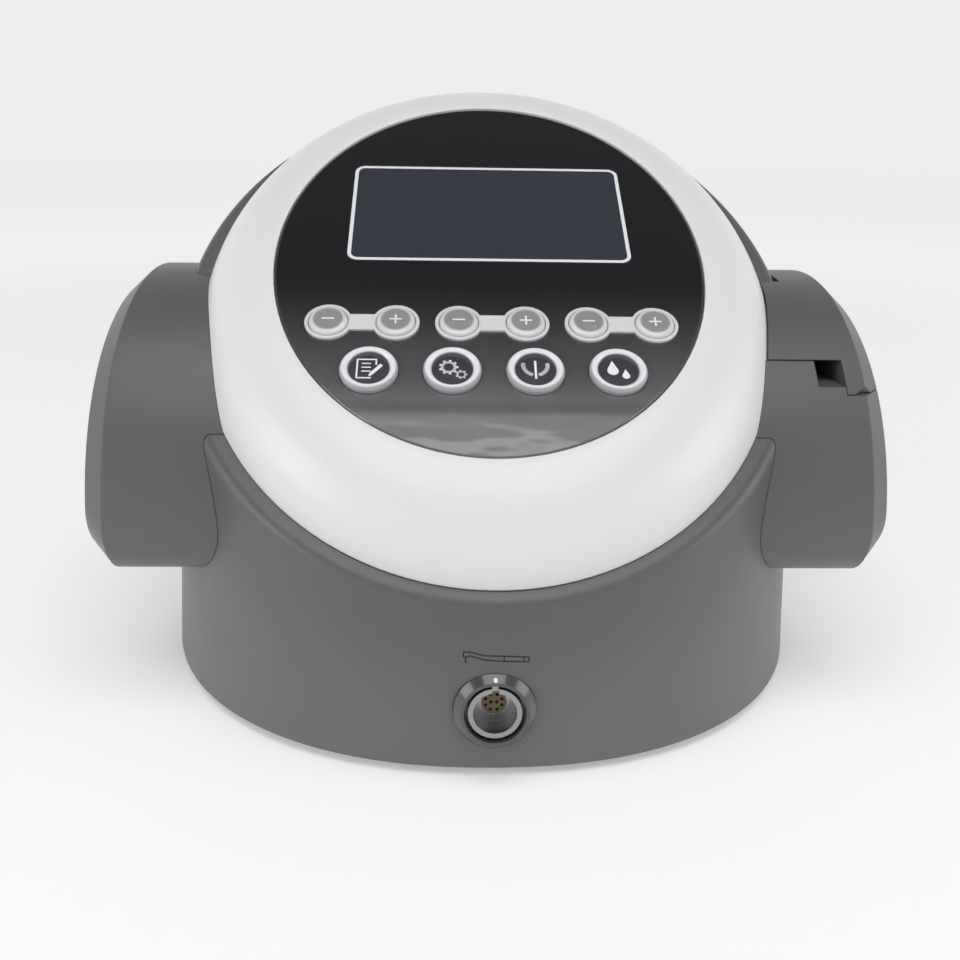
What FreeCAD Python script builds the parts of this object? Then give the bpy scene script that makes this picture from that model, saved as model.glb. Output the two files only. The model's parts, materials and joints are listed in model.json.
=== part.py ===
"""Table-top surgical motor console with a peristaltic coolant pump, in millimetres.

+X is the user's right, +Y points to the rear and +Z is up.  The origin is on the table, midway
between the two pods.  The face assembly lies on a plane tilted up from the horizontal: across it
runs X, up it runs the slope, and out of it runs its normal.
"""
import FreeCAD
import Part
import Sketcher
import math
import os

from FreeCAD import Placement, Rotation, Vector

# ---------------------------------------------------------------- driving dimensions

DRIVING_SIZES = {
    "foot_height": 3.0,
    "foot_radius": 8.0,
    "foot_spread": 60.0,
    "base_half_width": 114.0,
    "base_half_depth": 107.5,
    "base_squareness": 2.2,
    "wall_thickness": 3.0,
    "base_thickness": 3.0,
    "base_plate_gap": 0.9,
    "boss_spread": 70.0,
    "face_tilt": 33.5,
    "face_centre_back": -7.5,
    "face_centre_up": 121.0,
    "rim_half_width": 102.5,
    "rim_half_length": 120.5,
    "rim_shift": 1.5,
    "rim_rounding": 4.0,
    "cover_half_width": 96.3,
    "oval_stretch": 1.2,
    "gasket_thickness": 0.4,
    "cover_height": 17.6,
    "panel_half_width": 69.0,
    "panel_thickness": 2.6,
    "panel_recess": 0.3,
    "window_width": 93.0,
    "window_length": 50.0,
    "window_up": 22.0,
    "window_corner": 3.0,
    "step_key_radius": 5.9,
    "step_key_spread": 10.2,
    "step_plate_radius": 7.2,
    "step_plate_spread": 39.5,
    "step_row_up": -31.8,
    "round_key_radius": 8.6,
    "round_key_spread": 24.3,
    "round_row_up": -51.3,
    "key_gap": 0.2,
    "pod_face": 123.6,
    "pod_rim": 116.5,
    "pod_radius": 88.5,
    "pod_chamfer": 6.0,
    "pod_corner": 15.0,
    "pod_centre_back": 15.5,
    "pod_centre_up": 39.0,
    "pod_bottom": 43.0,
    "lid_parting_up": 107.0,
    "cheek_parting_up": 98.3,
    "cheek_inside": 110.5,
    "cheek_rear": 50.0,
    "lid_gap": 0.3,
    "hinge_back": 67.5,
    "hinge_up": 106.0,
    "hinge_pin_radius": 1.6,
    "knuckle_radius": 3.6,
    "rotor_up": 76.0,
    "rotor_cavity_radius": 26.5,
    "roller_circle": 19.0,
    "roller_radius": 6.0,
    "tube_squeeze": 2.4,
    "shaft_radius": 3.0,
    "running_gap": 0.05,
    "gear_module": 1.0,
    "gear_teeth": 40.0,
    "pinion_teeth": 16.0,
    "socket_up": 23.0,
    "socket_tilt": 8.0,
    "socket_flange_radius": 11.6,
    "socket_ring_radius": 7.55,
    "socket_bore_radius": 6.1,
    "socket_bore_depth": 7.0,
    "socket_insert_radius": 3.6,
    "rear_recess_width": 96.0,
    "rear_recess_bottom": 14.0,
    "rear_recess_top": 60.0,
    "rear_panel_back": 92.5,
    "rocker_swing": 12.0,
    "pole_back": 103.91,
    "pole_radius": 8.0,
    "pole_bore_radius": 5.1,
    "pole_bore_depth": 36.0,
}

document = FreeCAD.newDocument("motor_console")
sheet = document.addObject("Spreadsheet::Sheet", "sizes")


class Size:
    """A dimension that carries its value and the sheet expression that it comes from."""

    def __init__(self, value, text):
        self.value = float(value)
        self.text = text

    def __float__(self):
        return self.value

    def __add__(self, other):
        other = as_size(other)
        return Size(self.value + other.value, f"({self.text} + {other.text})")

    def __sub__(self, other):
        other = as_size(other)
        return Size(self.value - other.value, f"({self.text} - {other.text})")

    def __mul__(self, other):
        other = as_size(other)
        return Size(self.value * other.value, f"({self.text} * {other.text})")

    def __truediv__(self, other):
        other = as_size(other)
        return Size(self.value / other.value, f"({self.text} / {other.text})")

    def __neg__(self):
        return Size(-self.value, f"(0 - {self.text})")


def as_size(amount):
    """A plain number as a Size, so that the two mix in sums."""
    if isinstance(amount, Size):
        return amount
    return Size(amount, f"({float(amount)})")


def cell(alias):
    """The driving dimension of that alias."""
    return Size(DRIVING_SIZES[alias], f"sizes.{alias}")


def fill_sheet():
    """Write each driving dimension to the sheet as plain text with an alias."""
    for row, (alias, value) in enumerate(DRIVING_SIZES.items(), start=1):
        sheet.set(f"A{row}", alias)
        sheet.set(f"B{row}", str(value))
        sheet.setAlias(f"B{row}", alias)
    document.recompute()


fill_sheet()

# ---------------------------------------------------------------- places

UPRIGHT = Rotation()
ALONG_X = Rotation(Vector(0, 1, 0), 90)
FACE_TURN = Rotation(Vector(1, 0, 0), float(cell("face_tilt")))
SOCKET_TURN = Rotation(Vector(1, 0, 0), 90 - float(cell("socket_tilt")))
REAR_TURN = Rotation(Vector(0, 0, 1), 180) * Rotation(Vector(1, 0, 0), 90)


def at(across, back, up, turn=UPRIGHT):
    """Placement at a point of the console, turned by turn."""
    return Placement(Vector(float(across), float(back), float(up)), turn)


def on_face(across, upslope, above):
    """Placement on the tilted face, with its Z along the face's normal."""
    centre = Vector(0, float(cell("face_centre_back")), float(cell("face_centre_up")))
    return Placement(centre + FACE_TURN.multVec(Vector(float(across), float(upslope), float(above))), FACE_TURN)


def front_wall_back(height):
    """Y of the front wall's outer surface at mid-width, at that height."""
    rim = on_face(0, cell("rim_shift") - cell("rim_half_length"), 0).Base
    share = (height - float(cell("foot_height"))) / (rim.z - float(cell("foot_height")))
    return -float(cell("base_half_depth")) * (1 - share) + rim.y * share


def at_socket(out):
    """Placement on the front socket's axis, out from the wall, with its Z along the axis."""
    start = Vector(0, front_wall_back(float(cell("socket_up"))), float(cell("socket_up")))
    return Placement(start + SOCKET_TURN.multVec(Vector(0, 0, float(out))), SOCKET_TURN)


def at_rear(across, up, out=0.0):
    """Placement on the rear panel's outer side, with its Z pointing to the rear."""
    return at(across, cell("rear_panel_back") + out, up, REAR_TURN)


def at_rotor(across, up=None):
    """Placement on the rotor's axis, or below it at another height, with its Z along X."""
    return at(across, cell("pod_centre_back"), cell("rotor_up") if up is None else up, ALONG_X)


# ---------------------------------------------------------------- building helpers

nodes = []


def keep(piece):
    """Remember a finished sub-part, so that it is checked and written."""
    nodes.append(piece)
    return piece


def new_body(label, placement):
    """An empty PartDesign body."""
    body = document.addObject("PartDesign::Body", label)
    body.Label = label
    body.Placement = placement
    return body


def new_sketch(body, role, raised=0.0):
    """A sketch on one of the body's own origin planes, raised along the plane's normal."""
    sketch = body.newObject("Sketcher::SketchObject", "sketch")
    plane = [feature for feature in body.Origin.OriginFeatures if feature.Role == role][0]
    sketch.AttachmentSupport = [(plane, "")]
    sketch.MapMode = "FlatFace"
    sketch.AttachmentOffset = Placement(Vector(0, 0, float(raised)), Rotation())
    if isinstance(raised, Size):
        sketch.setExpression("AttachmentOffset.Base.z", raised.text)
    return sketch


def constrain(sketch, kind, where, amount):
    """Hold one distance of the sketch to the sheet."""
    amount = as_size(amount)
    number = sketch.addConstraint(Sketcher.Constraint(kind, *where, amount.value))
    sketch.setExpression(f"Constraints[{number}]", amount.text)


def hold_point(sketch, edge, end, across, up):
    """Hold an edge's end or centre at a distance across and up from the origin."""
    constrain(sketch, "DistanceX", (-1, 1, edge, end), across)
    constrain(sketch, "DistanceY", (-1, 1, edge, end), up)


def add_polygon(sketch, corners):
    """A closed outline of straight edges through the corners."""
    first = sketch.GeometryCount
    points = [Vector(float(across), float(up), 0) for across, up in corners]
    count = len(points)
    for number in range(count):
        line = Part.LineSegment(points[number], points[(number + 1) % count])
        sketch.addGeometry(line, False)
    for number in range(count):
        following = first + (number + 1) % count
        sketch.addConstraint(Sketcher.Constraint("Coincident", first + number, 2, following, 1))
        hold_point(sketch, first + number, 1, *corners[number])


def add_rectangle(sketch, width, length, across=0.0, up=0.0):
    """A rectangle about a centre."""
    width, length = as_size(width), as_size(length)
    left, right = as_size(across) - width / 2, as_size(across) + width / 2
    low, high = as_size(up) - length / 2, as_size(up) + length / 2
    add_polygon(sketch, [(left, low), (right, low), (right, high), (left, high)])


def add_circle(sketch, radius, across=0.0, up=0.0):
    """A circle about a centre."""
    centre = Vector(float(across), float(up), 0)
    edge = sketch.addGeometry(Part.Circle(centre, Vector(0, 0, 1), float(radius)), False)
    hold_point(sketch, edge, 3, across, up)
    constrain(sketch, "Radius", (edge,), radius)


def pad(body, sketch, length):
    """Extrude the sketch along its normal."""
    feature = body.newObject("PartDesign::Pad", "pad")
    feature.Profile = sketch
    feature.setExpression("Length", as_size(length).text)
    return feature


def pocket(body, sketch, depth):
    """Cut the sketch along its own normal's direction, so a sketch below the top cuts upwards."""
    feature = body.newObject("PartDesign::Pocket", "pocket")
    feature.Profile = sketch
    feature.Reversed = True
    feature.setExpression("Length", as_size(depth).text)
    return feature


def revolve(body, sketch):
    """Turn the sketch a full circle about its vertical axis."""
    feature = body.newObject("PartDesign::Revolution", "revolution")
    feature.Profile = sketch
    feature.ReferenceAxis = (sketch, ["V_Axis"])
    feature.Angle = 360
    return feature


def turned_body(label, placement, profile):
    """A body turned about its Z from corners given as (radius, height)."""
    body = new_body(label, placement)
    sketch = new_sketch(body, "XZ_Plane")
    add_polygon(sketch, profile)
    revolve(body, sketch)
    return body


def tube_body(label, placement, outer, inner, length):
    """A round tube along Z from its placement."""
    return turned_body(label, placement, [(inner, 0), (outer, 0), (outer, length), (inner, length)])


def plate_body(label, placement, width, length, thickness, holes=()):
    """A rectangular plate centred on its placement, with round holes given as (across, up, radius)."""
    body = new_body(label, placement)
    sketch = new_sketch(body, "XY_Plane")
    add_rectangle(sketch, width, length)
    for across, up, radius in holes:
        add_circle(sketch, radius, across, up)
    pad(body, sketch, thickness)
    return body


def made(label, shape, placement=None):
    """A sub-part whose shape comes from Part's own functions."""
    piece = document.addObject("Part::Feature", label)
    piece.Label = label
    piece.Shape = shape
    if placement is not None:
        piece.Placement = placement
    return piece


def group(label, master, places):
    """Identical pieces as the separate solids of one sub-part."""
    document.recompute()
    copies = []
    for place in places:
        copy = master.Shape.copy()
        copy.Placement = place * master.Shape.Placement
        copies.append(copy)
    return made(label, Part.makeCompound(copies))


def box(low, high):
    """A plain block between two opposite corners."""
    low, high = [float(value) for value in low], [float(value) for value in high]
    sides = [top - bottom for bottom, top in zip(low, high)]
    return Part.makeBox(*sides, Vector(*low))


def rod(placement, radius, length):
    """A plain cylinder along the placement's Z."""
    cylinder = Part.makeCylinder(float(radius), float(length))
    cylinder.Placement = placement
    return cylinder


def closed_curve(half_width, half_length, squareness, placement):
    """A smooth closed curve: an ellipse at squareness 2, squarer above that."""
    count = 48
    points = []
    for number in range(count):
        angle = 2 * math.pi * number / count
        across = math.cos(angle) / float(half_width)
        along = math.sin(angle) / float(half_length)
        reach = (abs(across) ** squareness + abs(along) ** squareness) ** (-1 / squareness)
        points.append(placement.multVec(Vector(reach * math.cos(angle), reach * math.sin(angle), 0)))
    curve = Part.BSplineCurve()
    curve.interpolate(Points=points, PeriodicFlag=True)
    return Part.Wire([curve.toShape()])


# ---------------------------------------------------------------- outer shape of the console


def housing_block(shrink=0.0, base_drop=0.0, top_drop=0.0):
    """The lower housing's outside as a solid, from the squarish base to the tilted oval rim."""
    base = closed_curve(
        cell("base_half_width") - shrink,
        cell("base_half_depth") - shrink,
        float(cell("base_squareness")),
        at(0, 0, cell("foot_height") - base_drop),
    )
    rim = closed_curve(
        cell("rim_half_width") - shrink,
        cell("rim_half_length") - shrink,
        2.0,
        on_face(0, cell("rim_shift"), -top_drop),
    )
    return Part.makeLoft([base, rim], True, True)


def rounded_housing_block():
    """The lower housing's outside with its rim rounded over."""
    block = housing_block()
    top = max(block.Faces, key=lambda face: face.CenterOfMass.z)
    return block.makeFillet(float(cell("rim_rounding")), top.Edges)


def oval_turned(profile_edges):
    """Turn a closed profile about the face's normal and stretch it into an oval up the slope."""
    face = Part.Face(Part.Wire(profile_edges))
    solid = face.revolve(Vector(), Vector(0, 0, 1), 360)
    stretch = FreeCAD.Matrix()
    stretch.scale(1.0, float(cell("oval_stretch")), 1.0)
    return solid.transformGeometry(stretch)


def ring_point(radius, above):
    """A point of an oval piece's profile."""
    return Vector(float(radius), 0, float(above))


def lines_through(points):
    """Straight edges from each point to the next."""
    return [Part.LineSegment(start, end).toShape() for start, end in zip(points, points[1:])]


def cover_crown(grow=0.0):
    """The arc of the cover's outside, from its foot on the gasket up to the panel's edge."""
    foot = ring_point(cell("cover_half_width") - 1.0 + grow, cell("gasket_thickness"))
    bulge = ring_point(cell("cover_half_width") - 10.7 + grow, 12.6 + grow)
    crest = ring_point(cell("panel_half_width") + 2.2, cell("cover_height") + grow)
    return Part.Arc(foot, bulge, crest).toShape(), foot, crest


def cover_block(grow=0.0):
    """The top cover's outside as a solid, reaching a little below the gasket."""
    arc, foot, crest = cover_crown(grow)
    corners = [crest, ring_point(0, crest.z), ring_point(0, -1), ring_point(foot.x, -1), foot]
    return oval_turned([arc] + lines_through(corners))


def pod_outline(across, radius, bottom, corner):
    """An arch across the console: a big arc over a flat bottom with rounded corners."""
    centre_back, centre_up = float(cell("pod_centre_back")), float(cell("pod_centre_up"))

    def point(back, up):
        return Vector(across, centre_back + back, up)

    corner_up = bottom + corner
    rise = corner_up - centre_up
    reach = math.sqrt((radius - corner) ** 2 - rise ** 2)
    growth = radius / (radius - corner)
    shoulder_back, shoulder_up = reach * growth, centre_up + rise * growth
    turn = math.atan2(rise, reach)
    middle = (turn - math.pi / 2) / 2
    middle_back, middle_up = reach + corner * math.cos(middle), corner_up + corner * math.sin(middle)
    edges = [
        Part.LineSegment(point(-reach, bottom), point(reach, bottom)),
        Part.Arc(point(reach, bottom), point(middle_back, middle_up), point(shoulder_back, shoulder_up)),
        Part.Arc(point(shoulder_back, shoulder_up), point(0, centre_up + radius), point(-shoulder_back, shoulder_up)),
        Part.Arc(point(-shoulder_back, shoulder_up), point(-middle_back, middle_up), point(-reach, bottom)),
    ]
    return Part.Wire([edge.toShape() for edge in edges])


def pod_block(side, inset=0.0):
    """A pod's outside as a solid, reaching into the console, or its hollow when inset."""
    start = side * 60.0
    rim = side * (float(cell("pod_rim")) - inset)
    face = side * (float(cell("pod_face")) - inset)
    radius = float(cell("pod_radius")) - inset
    bottom = float(cell("pod_bottom")) + inset
    chamfer, corner = float(cell("pod_chamfer")), float(cell("pod_corner"))
    inner_part = Part.Face(pod_outline(start, radius, bottom, corner)).extrude(Vector(rim - start, 0, 0))
    rim_outline = pod_outline(rim, radius, bottom, corner)
    face_outline = pod_outline(face, radius - chamfer, bottom + chamfer, corner - chamfer / 2)
    outer_part = Part.makeLoft([rim_outline, face_outline], True, True)
    return inner_part.fuse(outer_part).removeSplitter()


# ---------------------------------------------------------------- shells


def pump_block_corners():
    """Two corners of the block around the pump's rotor, which passes through the housing's wall."""
    centre, half = cell("pod_centre_back"), cell("rotor_cavity_radius") + 3.5
    low = (98.0, centre - half, cell("pod_bottom"))
    high = (114.0, centre + half, cell("lid_parting_up"))
    return low, high


def rear_recess_corners(margin, front):
    """Two corners of the recess for the rear panel, grown by a margin."""
    half = cell("rear_recess_width") / 2 + margin
    low = (-half, front, cell("rear_recess_bottom") - margin)
    high = (half, cell("base_half_depth") + 5, cell("rear_recess_top") + margin)
    return low, high


def boss_places(up):
    """The four corner places of the base screws and their bosses."""
    spread = cell("boss_spread")
    return [at(spread * right, spread * rear, up) for right in (-1, 1) for rear in (-1, 1)]


def pole_place(up):
    """A place on the axis of the pole holder, in the rear wall."""
    return at(0, cell("pole_back"), up)


def lower_housing(outside):
    """Grey lower shell with its bosses, socket seat, pump opening and rear recess."""
    wall = cell("wall_thickness")
    hollow = housing_block(shrink=float(wall), base_drop=1.0, top_drop=4.0)
    top_opening = oval_turned(
        lines_through([ring_point(r, z) for r, z in ((0, -6), (91, -6), (91, 2), (0, 2), (0, -6))])
    )
    top_opening.Placement = on_face(0, 0, 0)
    solids_inside = [rod(at_socket(-8.0), 16.0, 20.0)]
    solids_inside += [rod(place, 6.5, 24.0) for place in boss_places(cell("foot_height") + cell("base_thickness"))]
    solids_inside.append(box(*rear_recess_corners(wall, cell("rear_panel_back"))))
    solids_inside.append(rod(pole_place(84.0), 11.0, 50.0))
    shell = outside.cut(hollow).cut(top_opening)
    extras = solids_inside[0].multiFuse(solids_inside[1:]).common(outside)
    shell = shell.fuse(extras)
    cuts = [box(*pump_block_corners()), box(*rear_recess_corners(0.0, cell("rear_panel_back") - 1))]
    cuts += [rod(place, 1.9, 11.0) for place in boss_places(cell("foot_height") + cell("base_thickness"))]
    cuts += [rod(at_socket(-9.0), 10.0, 20.0), rod(at_socket(-2.0), cell("socket_flange_radius"), 20.0)]
    holder = cell("pole_bore_depth") + 4
    cuts += [rod(pole_place(88.0), cell("pole_radius"), holder), rod(pole_place(120.0), 5.6, 60.0)]
    return keep(made("lower_housing", shell.cut(cuts[0].multiFuse(cuts[1:])).removeSplitter()))


def base_plate():
    """Bottom plate, let into the lower housing, with seats for its screws and feet."""
    wall = cell("wall_thickness")
    outline = closed_curve(
        cell("base_half_width") - wall - cell("base_plate_gap"),
        cell("base_half_depth") - wall - cell("base_plate_gap"),
        float(cell("base_squareness")),
        at(0, 0, cell("foot_height")),
    )
    plate = Part.Face(outline).extrude(Vector(0, 0, float(cell("base_thickness"))))
    holes = [rod(place, 3.4, 2.0) for place in boss_places(cell("foot_height"))]
    holes += [rod(place, 1.9, 4.0) for place in boss_places(cell("foot_height"))]
    holes += [rod(place, 3.0, 4.0) for place in foot_places(cell("foot_height"))]
    return keep(made("base_plate", plate.cut(holes[0].multiFuse(holes[1:]))))


def foot_places(up):
    """The four places of the feet."""
    spread = cell("foot_spread")
    return [at(spread * right, spread * rear, up) for right in (-1, 1) for rear in (-1, 1)]


def rubber_feet():
    """Four round feet, each with a stem pressed into the base plate."""
    height, stem = cell("foot_height"), cell("foot_height") + cell("base_thickness")
    radius = cell("foot_radius")
    profile = [(0, 0), (radius - 1, 0), (radius, 1), (radius, height), (3, height), (3, stem), (0, stem)]
    master = turned_body("foot", at(0, 0, 0), profile)
    return keep(group("rubber_feet", master, foot_places(0)))


def base_screws():
    """Four screws up through the base plate into the housing's bosses."""
    seat = cell("base_thickness") - 1.0
    profile = [(0, 0.8), (1.6, 0.8), (1.6, 0), (3.4, 0), (3.4, seat), (1.9, seat), (1.9, 13), (0, 13)]
    master = turned_body("base_screw", at(0, 0, 0), profile)
    return keep(group("base_screws", master, boss_places(cell("foot_height"))))


def top_cover():
    """White domed ring from the gasket up to the panel, with a ledge under the panel."""
    arc, foot, crest = cover_crown()
    edge = cell("panel_half_width") + 0.35
    shelf = cell("cover_height") - cell("panel_recess") - cell("panel_thickness")
    ledge, under = cell("panel_half_width") - 2, shelf - 2.4
    inner_top = ring_point(cell("panel_half_width") + 0.5, under)
    inner_foot = ring_point(cell("cover_half_width") - 4.2, cell("gasket_thickness"))
    inner_bulge = ring_point(cell("cover_half_width") - 13.2, 9.6)
    shelf_points = [
        crest,
        ring_point(edge, cell("cover_height")),
        ring_point(edge, shelf),
        ring_point(ledge, shelf),
        ring_point(ledge, under),
        inner_top,
    ]
    inner_arc = Part.Arc(inner_top, inner_bulge, inner_foot).toShape()
    profile = [arc] + lines_through(shelf_points) + [inner_arc] + lines_through([inner_foot, foot])
    return keep(made("top_cover", oval_turned(profile), on_face(0, 0, 0)))


def seam_gasket():
    """Thin seal between the lower housing and the top cover."""
    outer, inner, thick = cell("cover_half_width") - 1.6, cell("cover_half_width") - 3.6, cell("gasket_thickness")
    corners = [ring_point(r, z) for r, z in ((inner, 0), (outer, 0), (outer, thick), (inner, thick), (inner, 0))]
    return keep(made("seam_gasket", oval_turned(lines_through(corners)), on_face(0, 0, 0)))


def left_pod_cover(console):
    """Plain arched cheek on the left, hollow towards the housing."""
    wall = float(cell("wall_thickness"))
    shell = pod_block(-1).cut(pod_block(-1, wall)).cut(console)
    return keep(made("left_pod_cover", largest_solid(shell)))


def largest_solid(shape):
    """The main solid of a shape, without the crumbs that a cut leaves."""
    return max(shape.Solids, key=lambda solid: solid.Volume)


# ---------------------------------------------------------------- face


def panel_top():
    """Height of the panel's outer surface above the seam."""
    return cell("cover_height") - cell("panel_recess")


def step_plate_places(above):
    """Places of the three plates that carry a minus and a plus key."""
    spread = cell("step_plate_spread")
    return [on_face(spread * number, cell("step_row_up"), above) for number in (-1, 0, 1)]


def step_key_places(above):
    """Places of the six minus and plus keys, from the left."""
    spread, apart = cell("step_plate_spread"), cell("step_key_spread")
    across = [spread * number + apart * side for number in (-1, 0, 1) for side in (-1, 1)]
    return [on_face(distance, cell("step_row_up"), above) for distance in across]


def round_key_places(above):
    """Places of the four round keys, from the left."""
    spread = cell("round_key_spread")
    return [on_face(spread * number, cell("round_row_up"), above) for number in (-1.5, -0.5, 0.5, 1.5)]


def rounded_window(width, length, corner, low, high):
    """A rounded rectangular prism centred on the display window."""
    width, length, corner = float(width), float(length), float(corner)
    up = float(cell("window_up"))
    block = Part.makeBox(width, length, high - low, Vector(-width / 2, up - length / 2, low))
    upright = [edge for edge in block.Edges if abs(edge.tangentAt(edge.FirstParameter).z) > 0.9]
    return block.makeFillet(corner, upright)


def face_panel():
    """Black oval face with a stepped window and a hole for each key."""
    top = float(panel_top())
    bottom = top - float(cell("panel_thickness"))
    radius = cell("panel_half_width")
    corners = [(0, bottom), (radius, bottom), (radius, top - 0.5), (radius - 0.5, top), (0, top), (0, bottom)]
    plate = oval_turned(lines_through([ring_point(r, z) for r, z in corners]))
    width, length, corner = cell("window_width"), cell("window_length"), cell("window_corner")
    cuts = [
        rounded_window(width + 0.4, length + 0.4, corner, top - 1.3, top + 1),
        rounded_window(width - 4, length - 4, corner - 1, bottom - 1, top),
    ]
    back_to_face = on_face(0, 0, 0).inverse()
    gap = cell("key_gap")
    for place in step_key_places(bottom - 1):
        cuts.append(rod(back_to_face * place, cell("step_key_radius") + gap, 6))
    for place in round_key_places(bottom - 1):
        cuts.append(rod(back_to_face * place, cell("round_key_radius") + gap, 6))
    return keep(made("face_panel", plate.cut(cuts[0].multiFuse(cuts[1:])), on_face(0, 0, 0)))


def display_lens():
    """Clear window let into the panel over the display."""
    top = float(panel_top())
    lens = rounded_window(cell("window_width"), cell("window_length"), cell("window_corner"), top - 1.3, top - 0.05)
    return keep(made("display_lens", lens, on_face(0, 0, 0)))


def lcd_module():
    """Liquid crystal display under the window, in its metal frame."""
    up = panel_top() - cell("panel_thickness") - 5.2
    place = on_face(0, cell("window_up"), up)
    body = plate_body("lcd_module", place, cell("window_width") + 5, cell("window_length") + 8, 5.0)
    screen = new_sketch(body, "XY_Plane", 4.2)
    add_rectangle(screen, cell("window_width") - 3, cell("window_length") - 3)
    pocket(body, screen, 2.0)
    return keep(body)


def keypad_board():
    """Circuit board that carries the key switches."""
    middle = (cell("step_row_up") + cell("round_row_up")) / 2
    return keep(plate_body("keypad_board", on_face(0, middle, panel_top() - 9.2), 112, 38, 1.6))


def key_switches():
    """One tactile switch under each key."""
    foot = panel_top() - 7.6
    master = plate_body("key_switch", at(0, 0, 0), 6.2, 6.2, 2.2)
    plunger = new_sketch(master, "XY_Plane", 2.2)
    add_circle(plunger, 1.6)
    pad(master, plunger, 0.8)
    return keep(group("key_switches", master, step_key_places(foot) + round_key_places(foot)))


def step_key_plates():
    """Three light plates, each around one minus and one plus key."""
    apart, radius, thick = cell("step_key_spread"), cell("step_plate_radius"), 0.8
    for name, place in zip(("program", "speed", "torque"), step_plate_places(panel_top())):
        body = new_body(f"{name}_key_plate", place)
        waist = new_sketch(body, "XY_Plane")
        add_rectangle(waist, apart * 2, 6.4)
        pad(body, waist, thick)
        for side in (-1, 1):
            disc = new_sketch(body, "XY_Plane")
            add_circle(disc, radius, apart * side)
            pad(body, disc, thick)
        holes = new_sketch(body, "XY_Plane")
        for side in (-1, 1):
            add_circle(holes, cell("step_key_radius") + cell("key_gap"), apart * side)
        pocket(body, holes, 2.0)
        keep(body)


def step_keys():
    """Six minus and plus keys: a flange under the panel and a domed cap above it."""
    radius, flange, rise = cell("step_key_radius"), cell("step_key_radius") + 0.9, 5.3
    profile = [(0, 0), (flange, 0), (flange, 0.9), (radius, 0.9), (radius, rise - 0.9)]
    profile += [(radius - 0.35, rise - 0.3), (radius - 1.1, rise), (0, rise)]
    names = [f"{name}_{sign}_key" for name in ("program", "speed", "torque") for sign in ("minus", "plus")]
    for name, place in zip(names, step_key_places(panel_top() - cell("panel_thickness") - 0.95)):
        keep(turned_body(name, place, profile))


def round_keys():
    """Four round keys with a raised clear rim around a sunken centre."""
    radius, flange, rise = cell("round_key_radius"), cell("round_key_radius") + 0.9, 5.6
    profile = [(0, 0), (flange, 0), (flange, 0.9), (radius, 0.9), (radius, rise - 1.0), (radius - 0.4, rise - 0.3)]
    profile += [(radius - 1.0, rise), (radius - 1.7, rise), (radius - 2.3, rise - 0.5), (radius - 2.7, rise - 1.3)]
    profile += [(0, rise - 1.3)]
    names = ("memory_key", "gear_key", "direction_key", "coolant_key")
    for name, place in zip(names, round_key_places(panel_top() - cell("panel_thickness") - 0.95)):
        keep(turned_body(name, place, profile))


# ---------------------------------------------------------------- pump pod


def hinge_place(across):
    """A place on the lid hinge's axis, with its Z along X."""
    return at(across, cell("hinge_back"), cell("hinge_up"), ALONG_X)


def hinge_rods(radius, spans):
    """Round bars on the hinge's axis, over spans given as (start, end)."""
    return [rod(hinge_place(start), radius, end - start) for start, end in spans]


# The lid turns on two knuckles, one on each side of the tube's path, between lugs of the housing.
KNUCKLE_SPANS = ((95.1, 101.7), (113.2, 115.6))
LUG_SPANS = ((88.0, 94.8), (111.0, 112.9), (115.9, 118.0))
PIN_SPANS = ((90.0, 101.5), (111.2, 117.0))
LID_RELIEF_SPANS = ((74.0, 95.1), (110.6, 113.2), (115.6, 130.0))
HOUSING_RELIEF_SPANS = ((74.0, 102.0), (110.5, 130.0))


def slot_corners():
    """Two corners of the tube's path through the strip, from front to rear."""
    low = (102.0, -95.0, cell("lid_parting_up") - 6.5)
    high = (cell("cheek_inside") + 0.1, 120.0, cell("lid_parting_up") + 1)
    return low, high


def pump_housing(console):
    """Fixed part of the right pod: hollow arch, rotor block, strip with the tube slot and hinge lugs."""
    wall = float(cell("wall_thickness"))
    parting, cheek_top = cell("lid_parting_up"), cell("cheek_parting_up")
    hinge_back, hinge_up = cell("hinge_back"), cell("hinge_up")
    whole = pod_block(1)
    shell = whole.cut(pod_block(1, wall))
    strip = box((98, -95, parting - 10), (cell("cheek_inside") + 3.5, 120, parting))
    shelf = box((98, -95, cheek_top - wall), (130, 120, cheek_top))
    rear_part = box((98, cell("cheek_rear") + 0.3, cheek_top - wall), (130, 120, parting))
    web = box((88, hinge_back - 3, hinge_up - 12), (98, hinge_back + 12, hinge_up))
    added = [part.common(whole) for part in (strip, shelf, rear_part, web)]
    body = shell.multiFuse(added).cut(console).fuse(box(*pump_block_corners()))
    centre, radius = cell("pod_centre_back"), cell("rotor_cavity_radius")
    cuts = [
        box((60, -95, parting), (130, 120, 200)),
        box((cell("cheek_inside"), -95, cheek_top), (130, cell("cheek_rear") + 0.3, 200)),
        rod(at_rotor(101.0), radius, 10.0),
        box((101, centre - radius, cell("rotor_up")), (111, centre + radius, parting + 1)),
        box(*slot_corners()),
        rod(at_rotor(90.0), 6.5, 12.0),
    ]
    cuts += hinge_rods(cell("knuckle_radius") + 2.4, HOUSING_RELIEF_SPANS)
    body = largest_solid(body.cut(cuts[0].multiFuse(cuts[1:])))
    lugs = hinge_rods(cell("knuckle_radius"), LUG_SPANS)
    for start, end in LUG_SPANS:
        lugs.append(box((start, hinge_back - 3, hinge_up - 8), (end, hinge_back + 3, hinge_up)))
    body = body.multiFuse([lug.common(whole) for lug in lugs])
    pins = hinge_rods(cell("hinge_pin_radius"), PIN_SPANS)
    body = body.cut(pins[0].fuse(pins[1]))
    return keep(made("pump_housing", largest_solid(body.removeSplitter())))


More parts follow.
